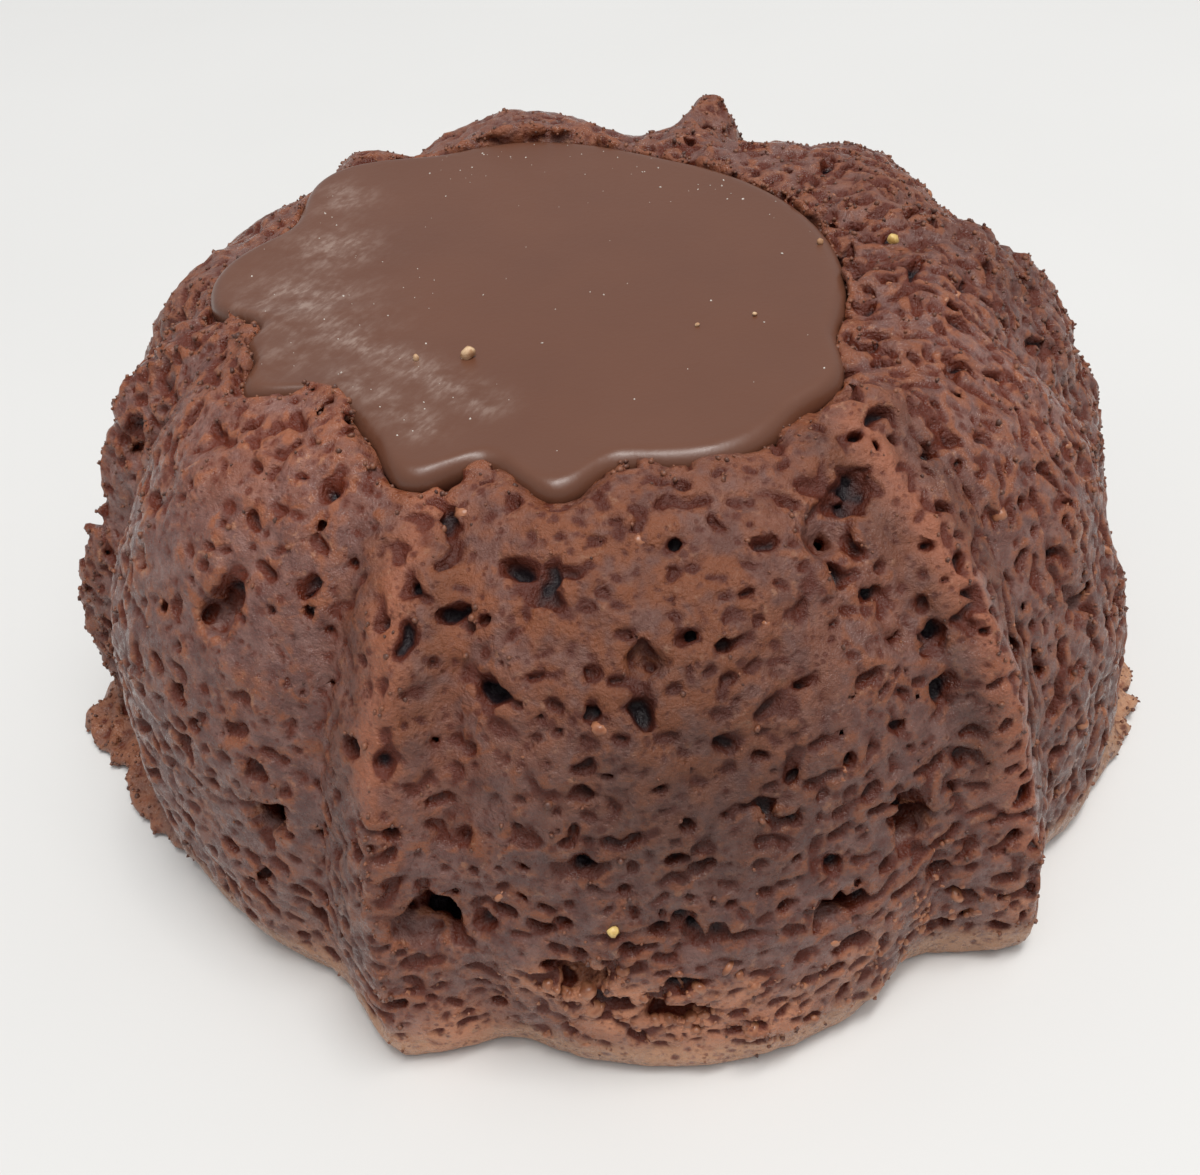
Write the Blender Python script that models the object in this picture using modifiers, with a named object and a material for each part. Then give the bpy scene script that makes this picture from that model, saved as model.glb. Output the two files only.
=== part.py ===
"""A small fluted chocolate lava cake with a pool of set ganache on its top.

Two solids: "cake", the baked crumb, and "ganache", the pool that lies in a shallow bed in its top.
The origin is the middle of the flat base, +Z is up and -Y is the front. Sizes are in metres.
"""

import math
import random

import bmesh
import bpy
from mathutils import Vector, noise

MM = 0.001

# The fluted body: wide round lobes, with a narrow sharp ridge between each two.
FLUTES = 6
FIRST_RIDGE = 240.0  # degrees; the lobe after this ridge faces the front
RIDGE_RADIUS = 45.0 * MM
LOBE_RADIUS = 43.6 * MM
VALLEY_RADIUS = 41.5 * MM
RIDGE_HEIGHT = 37.7 * MM
LOBE_HEIGHT = 38.0 * MM
SHOULDER_RADIUS = 24.3 * MM  # where the rounded side meets the flat top
RIDGE_FOOT = 9.6  # degrees from a ridge to the valleys beside it, at the table
FOOT_DEPTH = 1.1  # depth of the valleys there, as a share of the mean
FEET_END = 0.45  # sine of the side's turn from where on each valley has its own place and depth
TOP_LEAN = Vector((-1.8 * MM, 0.1 * MM, 0.0))  # how far the top has slumped sideways
TWIST = (240.0, 26.0, 4.5)  # degrees of a ridge that slants, half the width it draws along, its slant

# How full the side's curve is: first outwards, then upwards.
LOBE_FULLNESS = (2.12, 2.42)
VALLEY_FULLNESS = (1.57, 2.17)
RIDGE_UPWARDS = 2.38

# How each lobe differs from the mean, in turn round the cake from the front: swell, lift, roundness
# (1 would bring its edges into the valleys upright), then what lies between it and the ridge before it,
# and between it and the ridge after it: degrees from the ridge to the valley high on the side, the
# valley's depth as a share of the mean, and the sharpness of the ridge's flank (under 1 is full).
LOBES = (
    (0.4 * MM, 0.0 * MM, 0.86, (5.5, 0.35, 0.9), (6.0, 0.4, 0.8)),
    (-0.1 * MM, -0.5 * MM, 0.97, (8.5, 0.5, 1.1), (20.5, 1.3, 0.6)),
    (0.4 * MM, 0.3 * MM, 0.98, (8.0, 1.3, 1.3), (9.6, 1.35, 1.3)),
    (-0.1 * MM, 1.0 * MM, 0.98, (9.6, 1.35, 1.3), (9.6, 1.2, 1.3)),
    (-0.1 * MM, -0.5 * MM, 0.98, (9.6, 1.2, 1.3), (9.6, 1.2, 1.3)),
    (-0.6 * MM, 0.2 * MM, 0.97, (9.6, 1.2, 1.3), (8.5, 1.0, 0.8)),
)
RIDGES = (  # how each ridge differs: its swell, and how full it is outwards
    (0.6 * MM, 2.0),
    (0.9 * MM, 2.1),
    (0.1 * MM, 2.42),
    (0.9 * MM, 2.42),
    (0.4 * MM, 2.42),
    (-0.1 * MM, 2.42),
)

# The rim that turns in to the table, and the thin ragged skirt that spread out beside two lobes.
RIM_INSET = 0.8 * MM
RIM_HEIGHT = 3.0 * MM
SKIRT_THICKNESS = 1.1 * MM
SKIRT_ROOT = 1.9 * MM
SKIRT_RAGGEDNESS = 0.5
SKIRT_TEETH = 3.0 * MM
SKIRTS = (  # degrees at its middle, half its width in degrees, how far it reaches
    (186.5, 21.0, 4.6 * MM),
    (338.0, 18.0, 2.0 * MM),
)

# Mounds and dips of crumb on the top edge: degrees, radius, lift, spread.
MOUNDS = (
    (180.0, 23.5 * MM, 1.5 * MM, 2.6 * MM),
    (300.0, 25.0 * MM, 1.6 * MM, 2.8 * MM),
    (217.0, 26.0 * MM, 1.2 * MM, 5.0 * MM),
    (60.0, 31.0 * MM, 2.8 * MM, 3.4 * MM),
    (51.0, 28.0 * MM, -1.3 * MM, 2.6 * MM),
    (75.0, 28.0 * MM, -2.6 * MM, 3.0 * MM),
    (107.0, 28.0 * MM, -1.0 * MM, 3.0 * MM),
    (5.0, 24.0 * MM, 0.7 * MM, 6.0 * MM),
    (335.0, 25.0 * MM, 0.5 * MM, 5.0 * MM),
    (120.0, 31.0 * MM, 0.9 * MM, 4.0 * MM),
)
MOUNDS_START = 0.6  # share of the height where the mounds begin to rise
MOUNDS_WHOLE = 0.9

# Places where the side bulges out or has sunk in: degrees, height, push outwards, spread.
BULGES = (
    (181.0, 25.0 * MM, -2.0 * MM, 7.0 * MM),
    (180.0, 12.0 * MM, 1.2 * MM, 2.5 * MM),
    (214.0, 1.0 * MM, -0.6 * MM, 9.0 * MM),
    (44.0, 36.0 * MM, -1.2 * MM, 3.5 * MM),
    (78.0, 36.0 * MM, -1.8 * MM, 3.5 * MM),
    (35.0, 34.0 * MM, 0.8 * MM, 6.0 * MM),
    (6.0, 32.0 * MM, 0.9 * MM, 5.0 * MM),
    (345.0, 28.0 * MM, -0.5 * MM, 5.0 * MM),
    (270.0, 1.0 * MM, 0.5 * MM, 9.0 * MM),
    (291.0, 1.0 * MM, -0.9 * MM, 5.0 * MM),
)

# Broad unevenness of the baked surface: size of a swell, and how far it stands out.
SWELLS = ((9.0 * MM, 0.55 * MM), (4.2 * MM, 0.45 * MM))
SWELLS_WHOLE = 0.1  # share of the height where they reach their full size

# The blank that the body is shaped from: its rows lie closer together near the table.
BLANK_STEPS = 132
SIDE_ROWS = 24
TOP_ROWS = 3
LOWEST_TURN = math.radians(2.0)
HIGHEST_TURN = math.radians(90.0)
ROW_CROWDING = 1.25
FLAT_TOP_RADIUS = 16.0 * MM
AXIS_REACH = 0.5 * MM  # a point of the blank nearer than this to its axis lies on it

# Open pores: the large ones by hand (degrees, height, width, height of the pore, depth).
LARGE_PORES = (
    (244.7, 15.0 * MM, 4.6 * MM, 4.2 * MM, 3.2 * MM),
    (288.7, 17.4 * MM, 3.3 * MM, 3.4 * MM, 2.6 * MM),
    (289.6, 35.2 * MM, 4.6 * MM, 3.6 * MM, 2.4 * MM),
    (220.2, 30.0 * MM, 2.8 * MM, 2.6 * MM, 2.2 * MM),
    (184.5, 29.5 * MM, 2.8 * MM, 3.0 * MM, 2.2 * MM),
    (226.8, 17.0 * MM, 3.0 * MM, 2.8 * MM, 2.2 * MM),
    (257.9, 11.0 * MM, 3.4 * MM, 2.8 * MM, 2.4 * MM),
    (265.2, 7.6 * MM, 4.4 * MM, 2.2 * MM, 2.0 * MM),
    (279.7, 13.8 * MM, 3.2 * MM, 1.9 * MM, 2.0 * MM),
    (32.0, 33.0 * MM, 4.4 * MM, 3.4 * MM, 2.4 * MM),
)
LARGE_PORE_SPLITS = 2
SMALL_PORE_SPLITS = 1
PORE_RAGGEDNESS = 0.5
SCATTERED_PORES = 22
PORE_WIDTH = (2.1 * MM, 3.6 * MM)
PORE_FLATTENING = (0.6, 1.0)  # a scattered pore's height as a share of its width
PORE_DEPTH = 0.7  # its depth as a share of its width
PORE_SPACING = 7.0 * MM
PORE_LOW = 5.0 * MM
PORE_HIGH = 34.0 * MM
PORE_SEED = 11

# The pool of ganache.
POOL_CENTRE = Vector((-4.2 * MM, -1.4 * MM, 0.0))
POOL_RADIUS = 21.8 * MM
POOL_TOP = 38.3 * MM
POOL_THICKNESS = 2.5 * MM
POOL_DISH = 0.5 * MM  # how far its middle lies below its edge
POOL_STEPS = 96
POOL_GAP = 0.3 * MM
POOL_RINGS = (0.3, 0.6, 0.82)
POOL_EDGE_STEPS = 6
BED_OPENING = 10.0 * MM  # how far the cutter of the bed reaches above the cake
FLOWS = (  # degrees at its middle, half its width in degrees, how far the edge runs out
    (93.0, 44.0, 2.9 * MM),
    (124.0, 24.0, 5.2 * MM),
    (163.0, 30.0, 3.6 * MM),
    (181.0, 7.0, -2.6 * MM),
    (203.0, 9.0, 2.2 * MM),
    (217.0, 19.0, -2.1 * MM),
    (241.5, 10.5, 2.7 * MM),
    (263.5, 11.0, 3.4 * MM),
    (292.0, 29.0, 3.3 * MM),
    (315.0, 14.0, 2.2 * MM),
)

CRUMB_COLOUR = (0.150, 0.062, 0.038, 1.0)
CRUMB_ROUGHNESS = 0.62
GANACHE_COLOUR = (0.165, 0.085, 0.058, 1.0)
GANACHE_ROUGHNESS = 0.38


def clear_scene():
    for obj in list(bpy.data.objects):
        bpy.data.objects.remove(obj, do_unlink=True)


def collection_under(parent, name):
    collection = bpy.data.collections.new(name)
    parent.children.link(collection)
    return collection


def plain_material(name, colour, roughness):
    material = bpy.data.materials.new(name)
    material.use_nodes = True
    shader = material.node_tree.nodes["Principled BSDF"]
    shader.inputs["Base Color"].default_value = colour
    shader.inputs["Roughness"].default_value = roughness
    shader.inputs["Metallic"].default_value = 0.0
    material.diffuse_color = colour
    return material


def smooth_step(share):
    share = min(max(share, 0.0), 1.0)
    return share * share * (3.0 - 2.0 * share)


def degrees_of(x, y):
    return math.degrees(math.atan2(y, x)) % 360.0


def from_polar(degrees, radius, height):
    angle = math.radians(degrees)
    return Vector((radius * math.cos(angle), radius * math.sin(angle), height))


def round_swelling(degrees, middle, half_width):
    """1 at the middle of a swelling on a round outline, falling smoothly to 0 at its ends."""
    away = ((degrees - middle + 180.0) % 360.0 - 180.0) / half_width
    if abs(away) >= 1.0:
        return 0.0
    return math.cos(away * math.pi / 2.0) ** 2


def turned_blank(name, profile, steps, collection):
    """The solid turned by a profile of (radius, height) points, as a mesh of its own."""
    lines = bpy.data.meshes.new(name + "_profile")
    points = [(radius, 0.0, height) for radius, height in profile]
    lines.from_pydata(points, [(i, i + 1) for i in range(len(points) - 1)], [])
    guide = bpy.data.objects.new(name + "_profile", lines)
    collection.objects.link(guide)
    screw = guide.modifiers.new("turn", "SCREW")
    screw.steps = steps
    screw.render_steps = steps
    screw.use_merge_vertices = True
    screw.merge_threshold = 0.00001
    bpy.context.view_layer.update()
    graph = bpy.context.evaluated_depsgraph_get()
    mesh = bpy.data.meshes.new_from_object(guide.evaluated_get(graph))
    mesh.name = name
    bpy.data.objects.remove(guide, do_unlink=True)
    bpy.data.meshes.remove(lines)
    blank = bpy.data.objects.new(name, mesh)
    collection.objects.link(blank)
    return blank


def side_curve(radius, height, fullness, turn):
    """(radius, height) on the side's curve: turn is 0 at the table and a right angle at the top."""
    outwards, upwards = fullness
    across = math.cos(turn) ** (2.0 / outwards)
    up = math.sin(turn) ** (2.0 / upwards)
    return SHOULDER_RADIUS + (radius - SHOULDER_RADIUS) * across, height * up


def fluted_section(degrees, turn):
    """(radius, height) of the fluted side at this angle round the cake."""
    spacing = 360.0 / FLUTES
    from_first = (degrees - FIRST_RIDGE) % 360.0
    number = int(from_first // spacing) % FLUTES
    from_ridge = from_first - number * spacing
    lobe_swell, lobe_lift, roundness, before, after = LOBES[number]
    risen = smooth_step(math.sin(turn) / FEET_END)
    start = RIDGE_FOOT + (before[0] - RIDGE_FOOT) * risen
    end = spacing - RIDGE_FOOT - (after[0] - RIDGE_FOOT) * risen
    across = (from_ridge - (start + end) / 2.0) / ((end - start) / 2.0)
    _, depth, sharpness = before if across < 0.0 else after
    depth = FOOT_DEPTH + (depth - FOOT_DEPTH) * risen
    ridge_swell, outwards = RIDGES[(number + (across > 0.0)) % FLUTES]
    swell = (lobe_swell + ridge_swell) / 2.0
    mean_valley_at = side_curve(VALLEY_RADIUS + swell, LOBE_HEIGHT, VALLEY_FULLNESS, turn)
    peak_at = side_curve(LOBE_RADIUS + lobe_swell, LOBE_HEIGHT + lobe_lift, LOBE_FULLNESS, turn)
    valley_at = [peak + (valley - peak) * depth for peak, valley in zip(peak_at, mean_valley_at)]
    if abs(across) <= 1.0:
        lowest = math.sqrt(1.0 - roundness)
        share = (math.sqrt(1.0 - roundness * across * across) - lowest) / (1.0 - lowest)
    else:
        peak_at = side_curve(RIDGE_RADIUS + ridge_swell, RIDGE_HEIGHT, (outwards, RIDGE_UPWARDS), turn)
        foot = start if across < 0.0 else spacing - end
        share = (1.0 - min(from_ridge, spacing - from_ridge) / foot) ** sharpness
    radius = valley_at[0] + (peak_at[0] - valley_at[0]) * share
    height = valley_at[1] + (peak_at[1] - valley_at[1]) * share
    return radius, height


def slant(degrees, height):
    """How many degrees round the cake the slanting ridge draws this point."""
    middle, half_width, most = TWIST
    return most * (height / LOBE_HEIGHT) ** 2 * round_swelling(degrees, middle, half_width)


def side_point(degrees, height):
    """The point on the fluted side at this angle and height, and the way that it faces."""
    upright = degrees
    for _ in range(8):
        upright = degrees - slant(upright, height)
    low = 0.0
    high = HIGHEST_TURN
    halvings = 30
    for _ in range(halvings):
        turn = (low + high) / 2.0
        if fluted_section(upright, turn)[1] < height:
            low = turn
        else:
            high = turn
    little_more = 0.01
    radius, up = fluted_section(upright, low)
    radius_above, up_above = fluted_section(upright, min(low + little_more, HIGHEST_TURN))
    point = from_polar(degrees, radius, up) + TOP_LEAN * (up / LOBE_HEIGHT)
    facing = from_polar(degrees, up_above - up, radius - radius_above).normalized()
    return point, facing


def skirt_reach(degrees):
    """How far the skirt runs out from the foot of the side, with its ragged teeth."""
    teeth = noise.noise(from_polar(degrees, LOBE_RADIUS, 0.0) / SKIRT_TEETH)
    reach = sum(reach * round_swelling(degrees, middle, half) for middle, half, reach in SKIRTS)
    return reach * (1.0 + SKIRT_RAGGEDNESS * teeth)


def blank_rows():
    """What each row of the blank becomes, from the table up, and how far it is through that kind."""
    rows = [("sole", 0.0), ("skirt", 0.0), ("skirt root", 0.0)]
    rows += [("side", (i + 1) / SIDE_ROWS) for i in range(SIDE_ROWS)]
    rows += [("top", (i + 1) / TOP_ROWS) for i in range(TOP_ROWS)]
    return rows


def row_place(degrees, kind, share):
    """(radius, height) of one row of the body at this angle, before the baked unevenness."""
    if kind == "top":
        radius, height = fluted_section(degrees, HIGHEST_TURN)
        return radius + (FLAT_TOP_RADIUS - radius) * share, height
    if kind == "side":
        turn = LOWEST_TURN + (HIGHEST_TURN - LOWEST_TURN) * share**ROW_CROWDING
        radius, height = fluted_section(degrees, min(turn, HIGHEST_TURN))
    else:
        radius = fluted_section(degrees, 0.0)[0]
        height = {"sole": 0.0, "skirt": SKIRT_THICKNESS, "skirt root": SKIRT_ROOT}[kind]
        if kind != "skirt root":
            radius += skirt_reach(degrees)
    turned_in = max(0.0, 1.0 - height / RIM_HEIGHT) ** 2
    covered = min(1.0, skirt_reach(degrees) / RIM_INSET)
    return radius - RIM_INSET * turned_in * (1.0 - covered), height


def mound_lift(place):
    """How far the mounds lift the crumb here: they belong to the top edge, not to the side."""
    height_share = place.z / LOBE_HEIGHT
    risen = smooth_step((height_share - MOUNDS_START) / (MOUNDS_WHOLE - MOUNDS_START))
    lift = 0.0
    for degrees, radius, height, spread in MOUNDS:
        away = (place - from_polar(degrees, radius, place.z)).length
        lift += height * math.exp(-((away / spread) ** 2))
    return lift * risen


def baked_unevenness(place):
    """A push outwards and upwards, the same each time at the same place."""
    outwards = Vector((place.x, place.y, place.z - LOBE_HEIGHT / 3.0)).normalized()
    push = sum(height * noise.noise(place / size) for size, height in SWELLS)
    return outwards * push * smooth_step(place.z / LOBE_HEIGHT / SWELLS_WHOLE)


def bulge_push(place, bulges):
    push = Vector((0.0, 0.0, 0.0))
    for centre, facing, outwards, spread in bulges:
        push += facing * outwards * math.exp(-(((place - centre).length / spread) ** 2))
    return push


def add_body(collection):
    """The round blank, with each of its points moved to its place on the fluted cake."""
    rows = blank_rows()
    row_height = LOBE_HEIGHT / (len(rows) - 1)
    profile = [(LOBE_RADIUS, row * row_height) for row in reversed(range(len(rows)))]
    profile = [(0.0, LOBE_HEIGHT), *profile, (0.0, 0.0)]
    body = turned_blank("cake", profile, BLANK_STEPS, collection)
    bulges = [(*side_point(degrees, height), push, spread) for degrees, height, push, spread in BULGES]
    for vertex in body.data.vertices:
        x, y, z = vertex.co
        if math.hypot(x, y) < AXIS_REACH:
            continue
        kind, share = rows[round(z / row_height)]
        degrees = degrees_of(x, y)
        radius, height = row_place(degrees, kind, share)
        place = from_polar(degrees + slant(degrees, height), radius, height)
        place += TOP_LEAN * (height / LOBE_HEIGHT)
        push = bulge_push(place, bulges)
        if kind in ("side", "top"):
            place += baked_unevenness(place)
            place.z += mound_lift(place)
        else:
            push.z = 0.0  # the base stays flat
        vertex.co = place + push
    body.data.update()
    return body


def pool_reach(degrees):
    return POOL_RADIUS + sum(reach * round_swelling(degrees, middle, half) for middle, half, reach in FLOWS)


def spread_pool(pool, gap):
    """Stretches a round blank to the pool's running edge, and moves it to the pool's place."""
    for vertex in pool.data.vertices:
        x, y, z = vertex.co
        stretch = (pool_reach(degrees_of(x, y)) + gap) / (POOL_RADIUS + gap)
        vertex.co = POOL_CENTRE + Vector((x * stretch, y * stretch, z))
    pool.data.update()


def add_ganache(collection):
    """The pool: a dished top, a thick rounded edge and a flat underside."""
    half = POOL_THICKNESS / 2.0
    edge_start = POOL_RADIUS - half
    profile = [(0.0, POOL_TOP - POOL_DISH)]
    for share in POOL_RINGS:
        profile.append((edge_start * share, POOL_TOP - POOL_DISH * (1.0 - share**3)))
    for i in range(POOL_EDGE_STEPS + 1):
        angle = math.pi / 2.0 - math.pi * i / POOL_EDGE_STEPS
        profile.append((edge_start + half * math.cos(angle), POOL_TOP - half + half * math.sin(angle)))
    profile.append((0.0, POOL_TOP - POOL_THICKNESS))
    pool = turned_blank("ganache", profile, POOL_STEPS, collection)
    spread_pool(pool, 0.0)
    return pool


def hide_cutter(cutter):
    cutter.hide_render = True
    cutter.display_type = "WIRE"


def add_bed_cutter(collection):
    """The shallow bed in the cake's top, a little wider and deeper than the pool."""
    floor = POOL_TOP - POOL_THICKNESS - POOL_GAP
    above = LOBE_HEIGHT + BED_OPENING
    radius = POOL_RADIUS + POOL_GAP
    profile = [(0.0, above), (radius, above), (radius, floor), (0.0, floor)]
    cutter = turned_blank("pool_bed", profile, POOL_STEPS, collection)
    spread_pool(cutter, POOL_GAP)
    hide_cutter(cutter)
    return cutter


def scattered_pores():
    """Pores of uneven size at random places on the side, kept apart from each other."""
    draw = random.Random(PORE_SEED)
    taken = [side_point(degrees, height)[0] for degrees, height, *_ in LARGE_PORES]
    pores = []
    while len(pores) < SCATTERED_PORES:
        degrees = draw.uniform(0.0, 360.0)
        height = draw.uniform(PORE_LOW, PORE_HIGH)
        width = draw.uniform(*PORE_WIDTH)
        tall = width * draw.uniform(*PORE_FLATTENING)
        point = side_point(degrees, height)[0]
        if min((point - other).length for other in taken) < PORE_SPACING:
            continue
        taken.append(point)
        pores.append((degrees, height, width, tall, width * PORE_DEPTH))
    return pores


def add_pore_cutter(collection, number, pore, splits):
    """A ragged ball, half sunk in the side where the pore opens."""
    degrees, height, width, tall, depth = pore
    point, facing = side_point(degrees, height)
    shape = bmesh.new()
    bmesh.ops.create_icosphere(shape, subdivisions=splits, radius=0.5)
    for vertex in shape.verts:
        bump = noise.noise(vertex.co * 2.0 + Vector((number, 0.0, 0.0)))
        vertex.co *= 1.0 + PORE_RAGGEDNESS * bump
    mesh = bpy.data.meshes.new("pore")
    shape.to_mesh(mesh)
    shape.free()
    cutter = bpy.data.objects.new(f"pore_{number:02d}", mesh)
    cutter.rotation_euler = facing.to_track_quat("X", "Z").to_euler()
    cutter.scale = (depth * 2.0, width, tall)
    cutter.location = point
    collection.objects.link(cutter)
    hide_cutter(cutter)


def add_pore_cutters(collection):
    pores = [(pore, LARGE_PORE_SPLITS) for pore in LARGE_PORES]
    pores += [(pore, SMALL_PORE_SPLITS) for pore in scattered_pores()]
    for number, (pore, splits) in enumerate(pores):
        add_pore_cutter(collection, number, pore, splits)


def cut_bed(cake, bed):
    boolean = cake.modifiers.new("pool bed", "BOOLEAN")
    boolean.operation = "DIFFERENCE"
    boolean.solver = "EXACT"
    boolean.object = bed


def cut_pores(cake, pores):
    boolean = cake.modifiers.new("open pores", "BOOLEAN")
    boolean.operation = "DIFFERENCE"
    boolean.solver = "EXACT"
    boolean.operand_type = "COLLECTION"
    boolean.collection = pores


def finish_solid(solid, material):
    solid.data.materials.append(material)
    solid.data.shade_smooth()


def main():
    clear_scene()
    scene_collection = bpy.context.scene.collection
    parts = collection_under(scene_collection, "chocolate_lava_cake")
    cutters = collection_under(scene_collection, "cutters")
    pores = collection_under(cutters, "pores")

    cake = add_body(parts)
    ganache = add_ganache(parts)
    cut_bed(cake, add_bed_cutter(cutters))
    add_pore_cutters(pores)
    cut_pores(cake, pores)

    finish_solid(cake, plain_material("crumb", CRUMB_COLOUR, CRUMB_ROUGHNESS))
    finish_solid(ganache, plain_material("ganache", GANACHE_COLOUR, GANACHE_ROUGHNESS))


main()
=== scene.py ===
"""The looks of a small fluted chocolate lava cake: open moist crumb, with a pool of set ganache on top.

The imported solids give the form. The crumb is worked out on a fine grid round its solid: broad lumps,
then pores of several kinds, then the surface is drawn through the grid. Sizes are in metres, +Z is up
and the front of the cake faces -Y. Angles go round the cake in degrees, from +X towards +Y.
"""

import math

import bmesh
import bpy
import numpy as np
from mathutils import Matrix, Vector
from mathutils.bvhtree import BVHTree


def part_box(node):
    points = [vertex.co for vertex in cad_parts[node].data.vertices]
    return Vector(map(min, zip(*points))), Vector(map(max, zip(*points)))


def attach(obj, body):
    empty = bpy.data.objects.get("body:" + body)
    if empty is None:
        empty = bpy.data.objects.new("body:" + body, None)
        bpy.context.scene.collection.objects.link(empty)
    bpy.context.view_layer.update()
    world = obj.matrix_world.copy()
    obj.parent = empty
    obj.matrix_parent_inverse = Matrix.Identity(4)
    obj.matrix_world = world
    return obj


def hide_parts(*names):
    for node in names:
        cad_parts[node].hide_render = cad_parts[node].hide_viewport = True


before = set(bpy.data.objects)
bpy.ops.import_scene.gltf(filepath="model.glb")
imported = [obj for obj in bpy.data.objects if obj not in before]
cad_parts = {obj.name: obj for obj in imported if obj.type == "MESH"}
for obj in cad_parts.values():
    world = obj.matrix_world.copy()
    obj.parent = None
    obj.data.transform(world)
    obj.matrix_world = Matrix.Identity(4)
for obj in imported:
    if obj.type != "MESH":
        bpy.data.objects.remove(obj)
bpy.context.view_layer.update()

MM = 0.001
UP = Vector((0.0, 0.0, 1.0))

# The camera, as the photograph was taken.
CAMERA_PLACE = Vector((-12.54, -89.24, 87.11)) * MM
CAMERA_HEADING = -6.98  # degrees, turned from looking along +Y
CAMERA_DOWN = 42.05  # degrees below the horizon
CAMERA_ROLL = -4.16
SENSOR_WIDTH = 36.0
LENS = 40.405

# The pale board, the room's even light, and two soft lamps: name, place, size, watts, colour.
FLOOR_REACH = 3.0
FLOOR_COLOURS = ((0.71, 0.71, 0.7), (0.75, 0.75, 0.74))
SKY_COLOUR = (0.97, 0.98, 1.0, 1.0)
SKY_STRENGTH = 0.42
LIGHTS = (
    ("ceiling", (0.12, -0.26, 1.3), (1.1, 1.0), 8.4, (1.0, 0.985, 0.96)),
    ("panel", (0.1, -0.12, 1.25), (0.6, 0.18), 7.0, (1.0, 0.99, 0.97)),
)

# The crumb's grids.
FINE_CELL = 0.25 * MM
COARSE_CELL = 0.5 * MM
GRID_MARGIN = 1.6 * MM
REACH_OUT = 1.1 * MM  # how far from the surface distances are worked out
REACH_IN = 2.8 * MM
CRUMB_TRIANGLES = 194_000
SEED = 7

# Places and sizes in the tables below are in degrees and millimetres.

# Holes that show singly: degrees, height, width, height of the hole, depth.
HOLES = (
    (244.7, 14.2, 3.2, 3, 3), (287.2, 19, 2.5, 2.6, 2.4), (290.6, 35.9, 3.4, 2.4, 2.2),
    (293.3, 28.7, 1.4, 2.3, 1.8), (285.3, 33.5, 1.1, 2, 1.6), (251.6, 35.7, 2, 1.2, 1.5),
    (245.4, 33.6, 2.2, 1.1, 1.5), (249.8, 30.5, 2, 1.4, 1.8), (263.8, 30, 1.4, 2.4, 1.8),
    (220.2, 31.6, 2.2, 2.2, 2), (226.1, 37.2, 1.8, 1.6, 1.6), (225.2, 16.4, 2, 2.6, 2),
    (215.2, 23.9, 1.5, 1.5, 1.6), (216.2, 19.7, 1.4, 1.6, 1.6), (257.9, 20.7, 2.2, 1.2, 1.8),
    (267.7, 20.2, 1.6, 1.1, 1.4), (253.6, 15.7, 1.8, 1, 1.4), (261.1, 14.6, 1.1, 1.1, 1.3),
    (263.7, 15.7, 1.3, 1.5, 1.5), (266.5, 15.3, 1.1, 1.6, 1.5), (268.6, 15.2, 1.1, 1.5, 1.5),
    (256.8, 13.6, 1.1, 1.1, 1.3), (258.2, 8.9, 1.2, 1.3, 1.4), (281.5, 13.8, 1.6, 1.6, 1.6),
    (291.3, 11.4, 1.9, 1.2, 1.5), (293.2, 20.6, 1.3, 0.9, 1.2), (255.3, 12, 3, 1.4, 1.8),
    (265.2, 10.7, 2.6, 1.3, 1.6), (259.3, 8.4, 2.8, 1.4, 1.8), (265.2, 7.2, 3.6, 1.4, 2),
    (279.7, 13.2, 2.6, 1.3, 1.8), (229.9, 8.5, 1.6, 2.4, 1.6), (241.2, 27, 1.5, 1.8, 1.3),
    (248.9, 15.3, 1.6, 1.8, 1.3), (184, 30.3, 2.2, 2, 1.8),
)
# Holes in the top: degrees, radius, width, length and depth.
TOP_HOLES = (
    (342.9, 18.9, 2.7, 2, 1.9), (2.2, 20, 1.9, 1.1, 1.3), (25.8, 21, 1.4, 1.2, 1.2),
    (353.8, 29.3, 1.3, 1.1, 1.2), (331, 24.6, 1.1, 1, 1), (319, 27.5, 1.3, 1, 1.1),
)
HOLE_RAGGEDNESS = 0.3
HOLE_EDGE_SPACING = 0.7 * MM
BESIDE_CAKE = 70.0 * MM  # rays from here, or from above, find where the holes open
ABOVE_CAKE = 60.0 * MM

# Stretches of the round, each by its middle and half width in degrees.
LOW_FRONT = (268.0, 34.0)
CRAGS = ((181.0, 18.0, 1.0), (350.0, 26.0, 1.0), (60.0, 16.0, 0.7))  # and how craggy they are
GRAINY_RIGHT = (15.0, 75.0)
GRAINY_LEFT = (180.0, 24.0)
SKIRTS = ((186.5, 26.0), (338.0, 22.0))
BACK = (90.0, 90.0)
CRUMBY_RIGHT = (15.0, 80.0)
CRUMBY_LEFT = (182.0, 26.0)
CRUMBY_SKIRTS = ((186.5, 30.0), (338.0, 26.0))

# Where the crumb lies lower beside the pool, so that the pool's lip shows: degrees, half width.
OPEN_LIPS = ((205.0, 12.0), (241.5, 13.0), (264.0, 13.0), (307.0, 22.0))
SHALLOW_GROOVE = 0.25 * MM
LIP_GROOVE = 1.25 * MM
POOL_GAP = 0.3 * MM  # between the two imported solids
SKIRT_RAGGEDNESS = 0.22 * MM

# How wide and deep the scattered pores are: spacing, steepness, how rare they are (more at the rim
# and at the back), and the deepest that they reach.
PORES = (
    (0.42, 0.3, (1.75, 0.9, 0.2), 0.5),
    (0.64, 0.42, (1.95, 1.2, 0.3), 1.1),
    (0.95, 0.55, (2.45, 2.0, 0.4), 1.6),
)

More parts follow.
